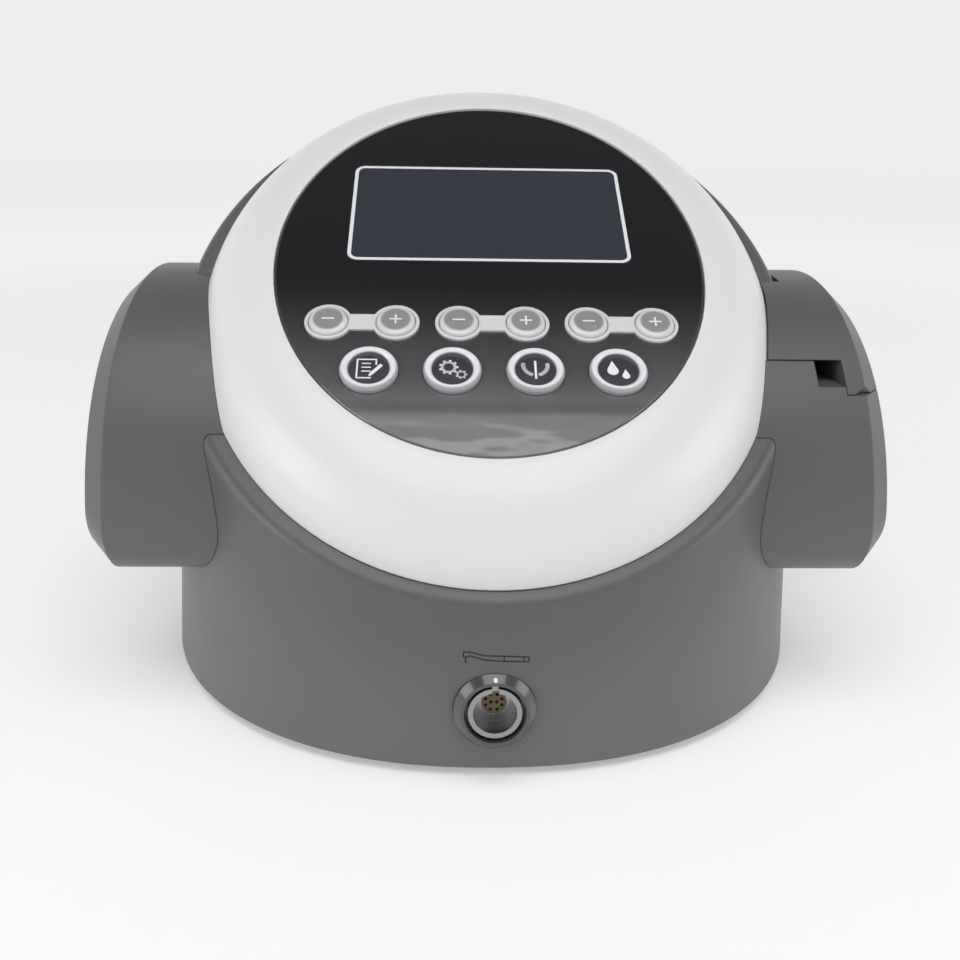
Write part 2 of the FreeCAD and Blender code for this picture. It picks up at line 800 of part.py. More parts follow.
def pump_lid(grown_console):
    """Hinged upper part of the right pod, with the curved bed that squeezes the tube."""
    wall, gap = float(cell("wall_thickness")), float(cell("lid_gap"))
    parting, cheek_top = float(cell("lid_parting_up")) + gap, float(cell("cheek_parting_up")) + gap
    cheek_inside, cheek_rear = float(cell("cheek_inside")) + gap, float(cell("cheek_rear"))
    whole = pod_block(1)
    hinge_back, centre = float(cell("hinge_back")), float(cell("pod_centre_back"))
    upper = box((60, -95, parting), (130, hinge_back, 200))
    cheek = box((cheek_inside, -95, cheek_top), (130, cheek_rear, 200))
    skin = whole.cut(pod_block(1, wall))
    cheek_wall = box((cheek_inside, -95, cheek_top), (cheek_inside + 2.5, cheek_rear, 200))
    cheek_floor = box((cheek_inside, -95, cheek_top), (130, cheek_rear, cheek_top + 2.5))
    rear_rib = box((90.0, hinge_back - 7, parting), (117.0, hinge_back, 200))
    bed = box((104.4, centre - 16, 98.0), (cheek_inside, centre + 16, 200))
    solid = skin.multiFuse([part.common(whole) for part in (cheek_wall, cheek_floor, rear_rib)])
    solid = solid.common(upper.fuse(cheek)).fuse(bed.common(whole)).cut(grown_console)
    track = cell("roller_circle") + cell("roller_radius") + cell("tube_squeeze")
    cuts = [rod(at_rotor(95.0), track, cheek_inside - 95.0)]
    cuts += hinge_rods(cell("knuckle_radius") + 0.5, LID_RELIEF_SPANS)
    solid = solid.cut(cuts[0].multiFuse(cuts[1:])).multiFuse(hinge_rods(cell("knuckle_radius"), KNUCKLE_SPANS))
    bores = hinge_rods(cell("hinge_pin_radius") + cell("running_gap"), ((90.0, 130.0),))
    thumb = Part.makeSphere(7.0, Vector(119.0, -53.5, cheek_top - 1.5))
    return keep(made("pump_lid", largest_solid(solid.cut(bores[0].fuse(thumb)).removeSplitter())))


def pump_lid_pins():
    """Two pins on which the lid turns."""
    pins = hinge_rods(cell("hinge_pin_radius"), PIN_SPANS)
    return keep(made("pump_lid_pins", Part.makeCompound(pins)))


def tube_solid(label, placement, radius, length):
    """A plain round bar along its placement's Z."""
    return turned_body(label, placement, [(0, 0), (radius, 0), (radius, length), (0, length)])


def pump_rotor():
    """Shaft, hub and two discs of the roller carrier."""
    shaft = cell("shaft_radius")
    disc = cell("roller_circle") + 2.5
    profile = [(0, 0), (shaft, 0), (shaft, 17.4), (disc, 17.4), (disc, 18.4), (8, 18.4)]
    profile += [(8, 25.0), (disc, 25.0), (disc, 26.0), (0, 26.0)]
    body = turned_body("pump_rotor", at_rotor(84.2), profile)
    holes = new_sketch(body, "XY_Plane", 16.0)
    add_circle(holes, 1.5, cell("roller_circle"))
    drill = pocket(body, holes, 12.0)
    pattern = body.newObject("PartDesign::PolarPattern", "pin_holes")
    pattern.Originals = [drill]
    axis = [feature for feature in body.Origin.OriginFeatures if feature.Role == "Z_Axis"][0]
    pattern.Axis = (axis, [""])
    pattern.Angle = 360
    pattern.Occurrences = 3
    body.Tip = pattern
    return keep(body)


def roller_places(across):
    """The three roller axes around the rotor."""
    places = []
    for number in range(3):
        turn = Rotation(Vector(0, 0, 1), 120 * number)
        offset = turn.multVec(Vector(float(cell("roller_circle")), 0, 0))
        places.append(at_rotor(across) * Placement(offset, turn))
    return places


def rollers():
    """Three rollers that run along the tube, on pins through the rotor's discs."""
    radius, bore = cell("roller_radius"), Size(1.5, "(1.5)") + cell("running_gap")
    profile = [(bore, 0), (radius - 0.6, 0), (radius, 0.6), (radius, 5.4), (radius - 0.6, 6.0), (bore, 6.0)]
    for name, place in zip(("lower", "rear", "front"), roller_places(102.9)):
        keep(turned_body(f"{name}_roller", place, profile))
    pin = tube_solid("roller_pin", at(0, 0, 0), 1.5, 8.6)
    keep(group("roller_pins", pin, roller_places(101.6)))


def gear_outline(teeth, module):
    """A spur gear's outline with straight-flanked teeth, one tooth on the X axis."""
    pitch = 2 * math.pi / teeth
    root, middle, tip = module * (teeth / 2 - 1.25), module * teeth / 2, module * (teeth / 2 + 0.9)
    flank = [(root, -0.30), (middle, -0.215), (tip, -0.10), (tip, 0.10), (middle, 0.215), (root, 0.30)]
    points = []
    for number in range(teeth):
        for radius, share in flank:
            angle = pitch * (number + share)
            points.append(Vector(radius * math.cos(angle), radius * math.sin(angle), 0))
    return Part.makePolygon(points + points[:1])


def toothed_wheel(teeth, width):
    """A spur gear's solid along Z."""
    outline = gear_outline(teeth, float(cell("gear_module")))
    return Part.Face(outline).extrude(Vector(0, 0, width))


def pinion_up():
    """Height of the pinion's axis, below the rotor's by the two pitch radii."""
    return cell("rotor_up") - (cell("gear_teeth") + cell("pinion_teeth")) * cell("gear_module") / 2


def rotor_gear():
    """Gear on the rotor's shaft."""
    wheel = toothed_wheel(int(float(cell("gear_teeth"))), 5.0)
    bore = rod(at(0, 0, -1), cell("shaft_radius"), 10.0)
    return keep(made("rotor_gear", wheel.cut(bore), at_rotor(89.0)))


def motor_pinion():
    """Pinion on the pump motor's shaft, with a gap of its teeth facing the rotor's gear."""
    teeth = int(float(cell("pinion_teeth")))
    wheel = toothed_wheel(teeth, 6.0)
    wheel.Placement = Placement(Vector(0, 0, 28.5), Rotation(Vector(0, 0, 1), 180 / teeth))
    solid = wheel.fuse(rod(at(0, 0, 0), 2.0, 34.5))
    return keep(made("motor_pinion", solid, at_rotor(60.0, pinion_up())))


def pump_motor():
    """Gearmotor that drives the pump, with its flange towards the bracket."""
    profile = [(2.05, 0), (2.05, 29), (14, 29), (14, 2), (13, 0), (13, -6), (0, -6), (0, -2), (2.05, -2)]
    return keep(turned_body("pump_motor", at_rotor(55.0, pinion_up()), profile))


def rotor_bearing():
    """Ball bearing of the rotor's shaft, in the rotor block's inner wall."""
    inner = cell("shaft_radius") + cell("running_gap")
    return keep(tube_body("rotor_bearing", at_rotor(98.0), 6.5, inner, 3.0))


def motor_bracket():
    """Plate that holds the motor and the rotor shaft's inner end."""
    middle = (cell("rotor_up") + pinion_up()) / 2
    half = (cell("rotor_up") - pinion_up()) / 2
    shaft_hole = (0 - half.value, 0, cell("shaft_radius") + cell("running_gap"))
    return keep(plate_body("motor_bracket", at_rotor(84.0, middle), 70, 52, 2.0, [shaft_hole, (half, 0, 3.5)]))


def bracket_spacers():
    """Three posts between the bracket and the rotor block."""
    master = tube_solid("bracket_spacer", at(0, 0, 0), 3.0, 12.0)
    centre = cell("pod_centre_back")
    places = [at(86.0, centre + back, up, ALONG_X) for back, up in ((-22, 50), (-22, 94), (22, 50))]
    return keep(group("bracket_spacers", master, places))


# ---------------------------------------------------------------- front socket


def socket_flange():
    """Bevelled collar around the socket, clamped through the front wall."""
    ring, outer = cell("socket_ring_radius"), cell("socket_flange_radius")
    groove = ring + 1.1
    profile = [(ring, -12), (10, -12), (10, -2), (outer, -2), (outer, 1.2), (outer - 2, 3.4)]
    profile += [(groove, 3.4), (groove, -1), (ring, -1)]
    return keep(turned_body("socket_flange", at_socket(0), profile))


def socket_shell():
    """Metal tube of the socket with its plug bore and a key notch at the top."""
    ring, bore, hole = cell("socket_ring_radius"), cell("socket_bore_radius"), cell("socket_insert_radius")
    mouth = 2.6
    floor = as_size(mouth) - cell("socket_bore_depth")
    profile = [(hole, -19), (ring, -19), (ring, mouth), (bore, mouth), (bore, floor), (hole, floor)]
    body = turned_body("socket_shell", at_socket(0), profile)
    notch = new_sketch(body, "XY_Plane", 1.1)
    add_rectangle(notch, 1.8, 3.0, 0, ring - 0.2)
    pocket(body, notch, 3.0)
    return keep(body)


def contact_places(out):
    """Eight contacts on a circle and two inside it."""
    ring = [Vector(2.5 * math.cos(angle), 2.5 * math.sin(angle), 0)
            for angle in (math.radians(22.5 + 45 * number) for number in range(8))]
    inner = [Vector(-0.85, 0, 0), Vector(0.85, 0, 0)]
    return [at_socket(out) * Placement(offset, Rotation()) for offset in ring + inner]


def socket_insert():
    """Insulating insert with its contact holes."""
    floor = as_size(2.6) - cell("socket_bore_depth")
    body = tube_solid("socket_insert_blank", at(0, 0, 0), cell("socket_insert_radius"), 12.6)
    document.recompute()
    solid = body.Shape.copy()
    solid.Placement = at_socket(floor - 12.6)
    holes = [rod(place, 0.5, 14.0) for place in contact_places(floor - 13.0)]
    return keep(made("socket_insert", solid.cut(holes[0].multiFuse(holes[1:]))))


def socket_contacts():
    """Sleeve contacts in the insert."""
    floor = as_size(2.6) - cell("socket_bore_depth")
    master = tube_solid("socket_contact", at(0, 0, 0), 0.45, 14.0)
    return keep(group("socket_contacts", master, contact_places(floor - 15.5)))


def socket_nut():
    """Hexagonal nut that clamps the socket inside the front wall."""
    body = new_body("socket_nut", at_socket(-11.0))
    sketch = new_sketch(body, "XY_Plane")
    corners = []
    for number in range(6):
        angle = math.radians(60 * number)
        corners.append((13.5 * math.cos(angle), 13.5 * math.sin(angle)))
    add_polygon(sketch, corners)
    add_circle(sketch, 10.0)
    pad(body, sketch, 2.9)
    return keep(body)


# ---------------------------------------------------------------- rear panel


def rear_panel():
    """Flat panel at the bottom of the rear recess."""
    width = cell("rear_recess_width") + 5
    height = cell("rear_recess_top") - cell("rear_recess_bottom") + 5
    middle = (cell("rear_recess_top") + cell("rear_recess_bottom")) / 2
    blank = plate_body("rear_panel_blank", at_rear(0, middle, -2.3), width, height, 2.3)
    document.recompute()
    plate = blank.Shape.common(housing_block(shrink=float(cell("wall_thickness")) + 0.3))
    cuts = [
        box((-41, 80, 34), (-13, 100, 55)),
        box((-41, 80, 18), (-13, 100, 29)),
        box((-6, 80, 35), (15, 100, 54)),
        rod(at_rear(30, 42, -5), 8.0, 10),
        rod(at_rear(4, 22, -5), 3.0, 10),
    ]
    cuts += [rod(at_rear(across, up, -5), 1.5, 10) for across, up in rear_screw_spots()]
    return keep(made("rear_panel", plate.cut(cuts[0].multiFuse(cuts[1:]))))


def rear_screw_spots():
    """Across and up of the rear panel's screws."""
    half = float(cell("rear_recess_width")) / 2 - 2.6
    low, high = float(cell("rear_recess_bottom")) + 3.5, float(cell("rear_recess_top")) - 3.5
    return [(side * half, up) for side in (-1, 1) for up in (low, high)]


def rear_panel_screws():
    """Four screws in the rear panel's corners."""
    profile = [(0, -8), (1.5, -8), (1.5, 0), (2.2, 0), (2.2, 0.8), (1.6, 1.4), (0, 1.4)]
    master = turned_body("rear_panel_screw", at(0, 0, 0), profile)
    return keep(group("rear_panel_screws", master, [at_rear(across, up) for across, up in rear_screw_spots()]))


def mains_inlet():
    """Three-pole mains inlet with a hollow for the connector."""
    panel = float(cell("rear_panel_back"))
    shell = box((-43, panel, 32), (-11, panel + 2.5, 57)).fuse(box((-41, panel - 20, 34), (-13, panel, 55)))
    hollow = box((-39, panel - 16, 36.5), (-15, panel + 3, 52.5))
    pin_holes = [box(low, high) for low, high in inlet_pin_corners(panel - 21, panel - 15)]
    return keep(made("mains_inlet", shell.cut(hollow).cut(pin_holes[0].multiFuse(pin_holes[1:]))))


def inlet_pin_corners(front, rear):
    """Corners of the three flat pins between two depths."""
    spots = [(-34.0, 43.0), (-27.0, 46.5), (-20.0, 43.0)]
    return [((across - 1, front, up - 2), (across + 1, rear, up + 2)) for across, up in spots]


def inlet_pins():
    """Live, neutral and earth pins."""
    panel = float(cell("rear_panel_back"))
    pins = [box(low, high) for low, high in inlet_pin_corners(panel - 26, panel - 1)]
    return keep(made("inlet_pins", Part.makeCompound(pins)))


def fuse_holder():
    """Box behind the panel that the fuse drawer slides in."""
    panel = float(cell("rear_panel_back"))
    shell = box((-41, panel - 26, 18), (-13, panel, 29))
    hollow = box((-39.5, panel - 24.5, 19.5), (-14.5, panel + 1, 27.5))
    return keep(made("fuse_holder", shell.cut(hollow)))


def fuse_drawer():
    """Sliding drawer for two fuses, with a lip to pull it by."""
    panel = float(cell("rear_panel_back"))
    tray = box((-39.3, panel - 24.2, 19.7), (-14.7, panel + 1, 27.0))
    hollow = box((-38.0, panel - 23.0, 20.8), (-16.0, panel - 1, 28))
    lip = box((-41, panel + 0.2, 18.4), (-13, panel + 2.4, 28.6))
    return keep(made("fuse_drawer", tray.cut(hollow).fuse(lip).removeSplitter()))


def fuses():
    """Two glass fuses lying in the drawer."""
    panel = float(cell("rear_panel_back"))
    bars = [rod(at(across, panel - 22.5, 23.4, Rotation(Vector(1, 0, 0), -90)), 2.5, 20.0)
            for across in (-33.0, -21.0)]
    return keep(made("fuses", Part.makeCompound(bars)))


def rocker_frame():
    """Bezel and body of the mains switch."""
    panel = float(cell("rear_panel_back"))
    shell = box((-8, panel, 33), (17, panel + 2, 56)).fuse(box((-6, panel - 20, 35), (15, panel, 54)))
    hollow = box((-4, panel - 15, 37), (13, panel + 3, 52))
    shell = shell.cut(hollow).cut(rod(rocker_place(-7), 1.55, 30))
    return keep(made("rocker_frame", shell))


def rocker_place(across):
    """A place on the rocker's axis, with its Z along X."""
    return at(across, float(cell("rear_panel_back")) - 3, 44.5, ALONG_X)


def power_rocker():
    """Mains switch rocker: two pads meeting at a shallow angle, on a trunnion."""
    panel = float(cell("rear_panel_back"))
    outline = [(panel - 6, 40.5), (panel + 1.0, 37.6), (panel + 3.2, 37.9), (panel + 1.6, 44.5)]
    outline += [(panel + 3.2, 51.1), (panel + 1.0, 51.4), (panel - 6, 48.5)]
    points = [Vector(-3.6, back, up) for back, up in outline]
    solid = Part.Face(Part.makePolygon(points + points[:1])).extrude(Vector(16.2, 0, 0))
    solid = solid.fuse(rod(rocker_place(-5.5), 1.5, 20)).removeSplitter()
    solid.rotate(rocker_place(0).Base, Vector(1, 0, 0), float(cell("rocker_swing")) / 2)
    return keep(made("power_rocker", solid))


def foot_control_socket():
    """Round multi-pole socket for the foot control."""
    profile = [(0, -14), (8, -14), (8, 0), (9.5, 0), (9.5, 2.5), (8.9, 3.1), (6, 3.1), (6, -5), (0, -5)]
    return keep(turned_body("foot_control_socket", at_rear(30, 42), profile))


def ground_post():
    """Equal-potential terminal stud with its nut."""
    profile = [(0, -8), (3, -8), (3, 0), (5, 0), (5, 3), (3, 3), (3, 13), (2.4, 13.6), (0, 13.6)]
    return keep(turned_body("ground_post", at_rear(4, 22), profile))


def pole_holder():
    """Upright tube in the rear wall that takes the irrigation bag's pole."""
    bore, depth = cell("pole_bore_radius"), cell("pole_bore_depth")
    radius, height = cell("pole_radius"), depth + 4
    profile = [(0, 0), (radius, 0), (radius, height), (bore, height), (bore, 4), (0, 4)]
    return keep(turned_body("pole_holder", pole_place(88.0), profile))


# ---------------------------------------------------------------- inside the housing


def main_board():
    """Main circuit board on its standoffs."""
    holes = [(side * 52, end * 30, 1.6) for side in (-1, 1) for end in (-1, 1)]
    return keep(plate_body("main_board", at(0, -42, 14.0), 112, 68, 1.6, holes))


def board_standoffs():
    """Four posts under the main board, each with its screw."""
    profile = [(0, 6), (3, 6), (3, 14), (1.6, 14), (1.6, 15.6), (2.8, 15.6), (2.8, 17.2), (0, 17.2)]
    master = turned_body("board_standoff", at(0, 0, 0), profile)
    places = [at(side * 52, -42 + end * 30, 0) for side in (-1, 1) for end in (-1, 1)]
    return keep(group("board_standoffs", master, places))


def beeper():
    """Round sounder on the main board."""
    profile = [(1, 0), (6, 0), (6, 9), (1, 9)]
    return keep(turned_body("beeper", at(-30, -30, 15.6), profile))


def power_supply():
    """Enclosed mains power supply on the base plate."""
    return keep(plate_body("power_supply", at(-38, 30, 6.0), 84, 66, 36.0))


# ---------------------------------------------------------------- assembly


def build():
    """Make every sub-part."""
    outside = rounded_housing_block()
    dome = cover_block()
    dome.Placement = on_face(0, 0, 0)
    console = outside.fuse(dome)
    gap = 0.4
    grown_dome = cover_block(gap)
    grown_dome.Placement = on_face(0, 0, 0)
    grown_console = housing_block(shrink=-gap, top_drop=-gap).fuse(grown_dome)
    lower_housing(outside)
    base_plate()
    rubber_feet()
    base_screws()
    top_cover()
    seam_gasket()
    left_pod_cover(console)
    face_panel()
    display_lens()
    lcd_module()
    keypad_board()
    key_switches()
    step_key_plates()
    step_keys()
    round_keys()
    pump_housing(console)
    pump_lid(grown_console)
    pump_lid_pins()
    pump_rotor()
    rollers()
    rotor_gear()
    motor_pinion()
    pump_motor()
    rotor_bearing()
    motor_bracket()
    bracket_spacers()
    socket_flange()
    socket_shell()
    socket_insert()
    socket_contacts()
    socket_nut()
    rear_panel()
    rear_panel_screws()
    mains_inlet()
    inlet_pins()
    fuse_holder()
    fuse_drawer()
    fuses()
    rocker_frame()
    power_rocker()
    foot_control_socket()
    ground_post()
    pole_holder()
    main_board()
    board_standoffs()
    beeper()
    power_supply()


def check_and_write():
    """Refuse a failed object or a bad shape, then write one file for each sub-part."""
    document.recompute()
    for item in document.Objects:
        if "Invalid" in item.State or "Error" in item.State:
            raise RuntimeError(f"{item.Label} failed: {item.State}")
    os.makedirs("parts", exist_ok=True)
    for node in nodes:
        shape = node.Shape
        if shape.isNull() or not shape.isValid() or not shape.Solids:
            raise RuntimeError(f"{node.Label} has no valid solid")
        print(f"{node.Label:24s} solids {len(shape.Solids):2d}  volume {shape.Volume:10.1f}")
    for node in nodes:
        node.Shape.exportStep(f"parts/{node.Label}.step")
    print(len(nodes), "sub-parts")


build()
check_and_write()
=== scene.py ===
"""Looks of the surgical motor console: finishes, printed icons, stage, lights and camera, in metres."""

import json
import math

import bpy
from mathutils import Matrix, Vector
from mathutils.bvhtree import BVHTree


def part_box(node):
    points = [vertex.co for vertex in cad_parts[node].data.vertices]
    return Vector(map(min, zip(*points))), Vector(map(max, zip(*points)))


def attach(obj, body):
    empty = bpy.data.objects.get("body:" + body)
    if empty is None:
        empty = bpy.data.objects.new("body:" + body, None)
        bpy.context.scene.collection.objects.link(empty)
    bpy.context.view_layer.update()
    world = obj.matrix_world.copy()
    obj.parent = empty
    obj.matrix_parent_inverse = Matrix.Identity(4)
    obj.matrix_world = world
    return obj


MILLIMETRE = 0.001

# The face lies on a tilted plane: across runs X, upslope runs up the tilt, and its normal points out.
FACE_TILT = math.radians(33.5)
FACE_CENTRE = Vector((0, -0.0075, 0.121))
ACROSS = Vector((1, 0, 0))
UPSLOPE = Vector((0, math.cos(FACE_TILT), math.sin(FACE_TILT)))
FACE_NORMAL = Vector((0, -math.sin(FACE_TILT), math.cos(FACE_TILT)))

SOCKET_TILT = math.radians(8)
SOCKET_AXIS = Vector((0, -math.cos(SOCKET_TILT), math.sin(SOCKET_TILT)))
SOCKET_UP = Vector((0, math.sin(SOCKET_TILT), math.cos(SOCKET_TILT)))

WINDOW_CENTRE = FACE_CENTRE + 0.022 * UPSLOPE
WINDOW_WIDTH = 0.093
WINDOW_LENGTH = 0.050
WINDOW_CORNER = 0.003

DOT_FROM_AXIS = 0.0109
MARK_ABOVE_SOCKET = 0.0165

STEP_CAP_RADIUS = 0.0040
STEP_RIM_RADIUS = 0.0050
ROUND_CENTRE_RADIUS = 0.0058
ROUND_RIM_RADIUS = 0.0064
ROUND_SLOPE_RADIUS = 0.0076
ROUND_FOOT_RADIUS = 0.0084

CAMERA_PLACE = (-0.0133, -0.3043, 0.1661)
CAMERA_PAN = math.radians(-1.72)
CAMERA_TILT = math.radians(22.82)
CAMERA_ROLL = math.radians(0.91)
CAMERA_LENS = 31.9
CAMERA_SHIFT = (0.009, 0.032)

EDGE_RADIUS = 0.0004
RAY_START = 0.006
PRINT_LIFT = 0.00008
STROKE_STEP = 0.7
GREY = (0.125, 0.126, 0.134)
WHITE = (0.74, 0.74, 0.75)
# colour of the painted shade on the housing just under the seam
PAINTED_SEAM_SHADE_GREY = (0.055, 0.056, 0.062)
PLATE_GREY = (0.68, 0.68, 0.70)
FLOOR_GREY = (0.80, 0.80, 0.80)
BLACK = (0.008, 0.008, 0.010)
HAZE_GREY = (0.26, 0.25, 0.26)
PRINT_WHITE = (0.80, 0.81, 0.83)
PRINT_BLACK = (0.01, 0.01, 0.01)


# ---------------------------------------------------------------- node helpers


class Look:
    """One material, with short ways to add its nodes and join them."""

    def __init__(self, name, color, roughness, metallic=0.0):
        self.material = bpy.data.materials.new(name)
        self.material.use_nodes = True
        self.tree = self.material.node_tree
        self.surface = self.tree.nodes["Principled BSDF"]
        self.shine(**{"Base Color": (*color, 1.0), "Roughness": roughness, "Metallic": metallic})

    def feed(self, node, socket, value):
        """Set a node's input to a number or colour, or join it to another node's output."""
        if isinstance(value, bpy.types.NodeSocket):
            self.tree.links.new(value, node.inputs[socket])
        else:
            node.inputs[socket].default_value = value

    def shine(self, **values):
        """Set inputs of the surface."""
        for socket, value in values.items():
            self.feed(self.surface, socket, value)

    def place(self):
        """The point of the resting console that is being shaded."""
        return self.tree.nodes.new("ShaderNodeTexCoord").outputs["Object"]

    def calculate(self, operation, first, second=0.0):
        """One sum of two numbers."""
        node = self.tree.nodes.new("ShaderNodeMath")
        node.operation = operation
        self.feed(node, 0, first)
        self.feed(node, 1, second)
        return node.outputs[0]

    def vector(self, operation, first, second):
        """One sum of two vectors: the number where it gives one, or else the vector."""
        node = self.tree.nodes.new("ShaderNodeVectorMath")
        node.operation = operation
        self.feed(node, 0, first)
        self.feed(node, 1, second)
        return node.outputs["Value" if operation == "DOT_PRODUCT" else "Vector"]

    def along(self, origin, direction):
        """Distance of the shaded point from an origin, along a direction."""
        return self.vector("DOT_PRODUCT", self.vector("SUBTRACT", self.place(), origin), direction)

    def from_axis(self, point, axis):
        """Distance of the shaded point from a line."""
        crossed = self.vector("CROSS_PRODUCT", self.vector("SUBTRACT", self.place(), point), axis)
        node = self.tree.nodes.new("ShaderNodeVectorMath")
        node.operation = "LENGTH"
        self.feed(node, 0, crossed)
        return node.outputs["Value"]

    def noise(self, scale, detail=3.0, stretch=(1.0, 1.0, 1.0)):
        """Smooth random values from 0 to 1 over the surface."""
        node = self.tree.nodes.new("ShaderNodeTexNoise")
        self.feed(node, "Vector", self.vector("MULTIPLY", self.place(), stretch))
        self.feed(node, "Scale", scale)
        self.feed(node, "Detail", detail)
        return node.outputs[0]

    def span(self, value, low, high, start=0.0, end=1.0):
        """Value taken smoothly from start..end onto low..high."""
        node = self.tree.nodes.new("ShaderNodeMapRange")
        node.interpolation_type = "SMOOTHSTEP"
        for socket, amount in enumerate((value, start, end, low, high)):
            self.feed(node, socket, amount)
        return node.outputs[0]

    def mix(self, share, first, second):
        """Colour between two colours."""
        node = self.tree.nodes.new("ShaderNodeMix")
        node.data_type = "RGBA"
        self.feed(node, "Factor", share)
        for socket, color in ((6, first), (7, second)):
            self.feed(node, socket, color if isinstance(color, bpy.types.NodeSocket) else (*color, 1.0))
        return node.outputs[2]

    def relief(self, height, strength, depth, edge=EDGE_RADIUS):
        """Fine relief on the surface, with its sharp edges rounded."""
        rounding = self.tree.nodes.new("ShaderNodeBevel")
        rounding.samples = 4
        self.feed(rounding, "Radius", edge)
        bump = self.tree.nodes.new("ShaderNodeBump")
        self.feed(bump, "Height", height)
        self.feed(bump, "Strength", strength)
        self.feed(bump, "Distance", depth)
        self.feed(bump, "Normal", rounding.outputs[0])
        self.shine(Normal=bump.outputs[0])

    def mottle(self, color, spread, scale):
        """Colour that drifts a little over the surface."""
        darker = tuple(channel * (1 - spread) for channel in color)
        lighter = tuple(channel * (1 + spread) for channel in color)
        return self.mix(self.noise(scale), darker, lighter)


# ---------------------------------------------------------------- finishes


def plastic(name, color, roughness, grain=0.25, coat=0.0):
    """Moulded plastic with a fine grain and a slightly uneven sheen."""
    look = Look(name, color, roughness)
    look.shine(**{"Base Color": look.mottle(color, 0.04, 14.0)})
    look.shine(Roughness=look.span(look.noise(90.0), roughness - 0.04, roughness + 0.05))
    look.shine(**{"Coat Weight": coat, "Coat Roughness": 0.08})
    look.relief(look.noise(2600.0, 2.0), grain, 0.00004)
    return look.material


def metal(name, color, roughness, stretch=(1.0, 1.0, 1.0)):
    """Machined metal with fine tool marks."""
    look = Look(name, color, roughness, metallic=1.0)
    marks = look.noise(1500.0, 2.0, stretch)
    look.shine(Roughness=look.span(marks, roughness - 0.06, roughness + 0.10))
    look.relief(marks, 0.15, 0.00002, 0.0002)
    return look.material


def grey_housing():
    """Satin grey housing, with painted shade that makes it a touch darker where it rises to the seam."""
    look = Look("grey_housing", GREY, 0.40)
    base = look.mottle(GREY, 0.05, 11.0)
    # painted shade: the colour darkens towards the seam, standing in for shade under the white cover's lip
    below_seam = look.along(FACE_CENTRE, FACE_NORMAL)
    shade = look.span(below_seam, 0.0, 0.35, -0.035, -0.004)
    look.shine(**{"Base Color": look.mix(shade, base, PAINTED_SEAM_SHADE_GREY)})
    look.shine(Roughness=look.span(look.noise(60.0), 0.34, 0.44))
    look.relief(look.noise(2400.0, 2.0), 0.30, 0.00004, 0.0006)
    return look.material


def white_cover():
    """Satin white domed ring."""
    look = Look("white_cover", WHITE, 0.30)
    look.shine(**{"Base Color": look.mottle(WHITE, 0.015, 9.0)})
    look.shine(Roughness=look.span(look.noise(45.0), 0.26, 0.36))
    look.shine(**{"Subsurface Weight": 0.08, "Subsurface Radius": (0.002, 0.002, 0.002)})
    look.relief(look.noise(1900.0, 2.0), 0.15, 0.00003)
    return look.material


def black_panel():
    """Glossy black panel under a clear film that is slack and creased along its lower edge."""
    look = Look("black_panel", BLACK, 0.10)
    upslope = look.along(FACE_CENTRE, UPSLOPE)
    haze = look.span(upslope, 0.55, 0.0, -0.075, -0.010)
    clouds = look.span(look.noise(22.0, 4.0), 0.6, 1.0)
    haze = look.calculate("MULTIPLY", haze, clouds)
    look.shine(**{"Base Color": look.mix(haze, BLACK, HAZE_GREY)})
    look.shine(Roughness=look.span(haze, 0.07, 0.26))
    look.shine(**{"Coat Weight": 0.8, "Coat Roughness": 0.05})
    slack = look.span(upslope, 1.0, 0.0, -0.078, -0.062)
    creases = look.noise(75.0, 1.5, (0.6, 1.6, 1.6))
    look.relief(look.calculate("MULTIPLY", creases, slack), 0.8, 0.0012, 0.0003)
    return look.material


def window_lens():
    """Dark display window with a thin silver line round it."""
    glass, line = (0.036, 0.040, 0.052), (0.86, 0.87, 0.89)
    inset, half_line = 0.0008, 0.0006
    look = Look("window_lens", glass, 0.08)
    reach = []
    for direction, size in ((ACROSS, WINDOW_WIDTH), (UPSLOPE, WINDOW_LENGTH)):
        distance = look.calculate("ABSOLUTE", look.along(WINDOW_CENTRE, direction))
        reach.append(look.calculate("SUBTRACT", distance, size / 2 - WINDOW_CORNER - inset))
    outside = [look.calculate("POWER", look.calculate("MAXIMUM", part, 0.0), 2.0) for part in reach]
    corner = look.calculate("SQRT", look.calculate("ADD", *outside))
    inside = look.calculate("MINIMUM", look.calculate("MAXIMUM", *reach), 0.0)
    edge = look.calculate("SUBTRACT", look.calculate("ADD", corner, inside), WINDOW_CORNER)
    on_line = look.calculate("LESS_THAN", look.calculate("ABSOLUTE", edge), half_line)
    look.shine(**{"Base Color": look.mix(on_line, look.mottle(glass, 0.06, 20.0), line)})
    look.shine(Metallic=look.calculate("MULTIPLY", on_line, 0.2))
    look.shine(Roughness=look.span(on_line, 0.08, 0.30))
    look.relief(look.noise(30.0, 1.0), 0.05, 0.0002, 0.0002)
    return look.material


def translucent(name, color, roughness=0.25):
    """Milky key plastic that lets a little light in."""
    look = Look(name, color, roughness)
    look.shine(**{"Subsurface Weight": 0.35, "Subsurface Radius": (0.0015, 0.0015, 0.0015)})
    look.shine(**{"Coat Weight": 0.5, "Coat Roughness": 0.10})
    look.shine(Roughness=look.span(look.noise(200.0), roughness - 0.05, roughness + 0.05))
    return look


def key_plate():
    """Light grey plate around a pair of keys."""
    look = translucent("key_plate", PLATE_GREY)
    look.shine(**{"Base Color": look.mottle(PLATE_GREY, 0.05, 60.0)})
    look.relief(look.noise(700.0, 1.0), 0.08, 0.00003)
    return look.material


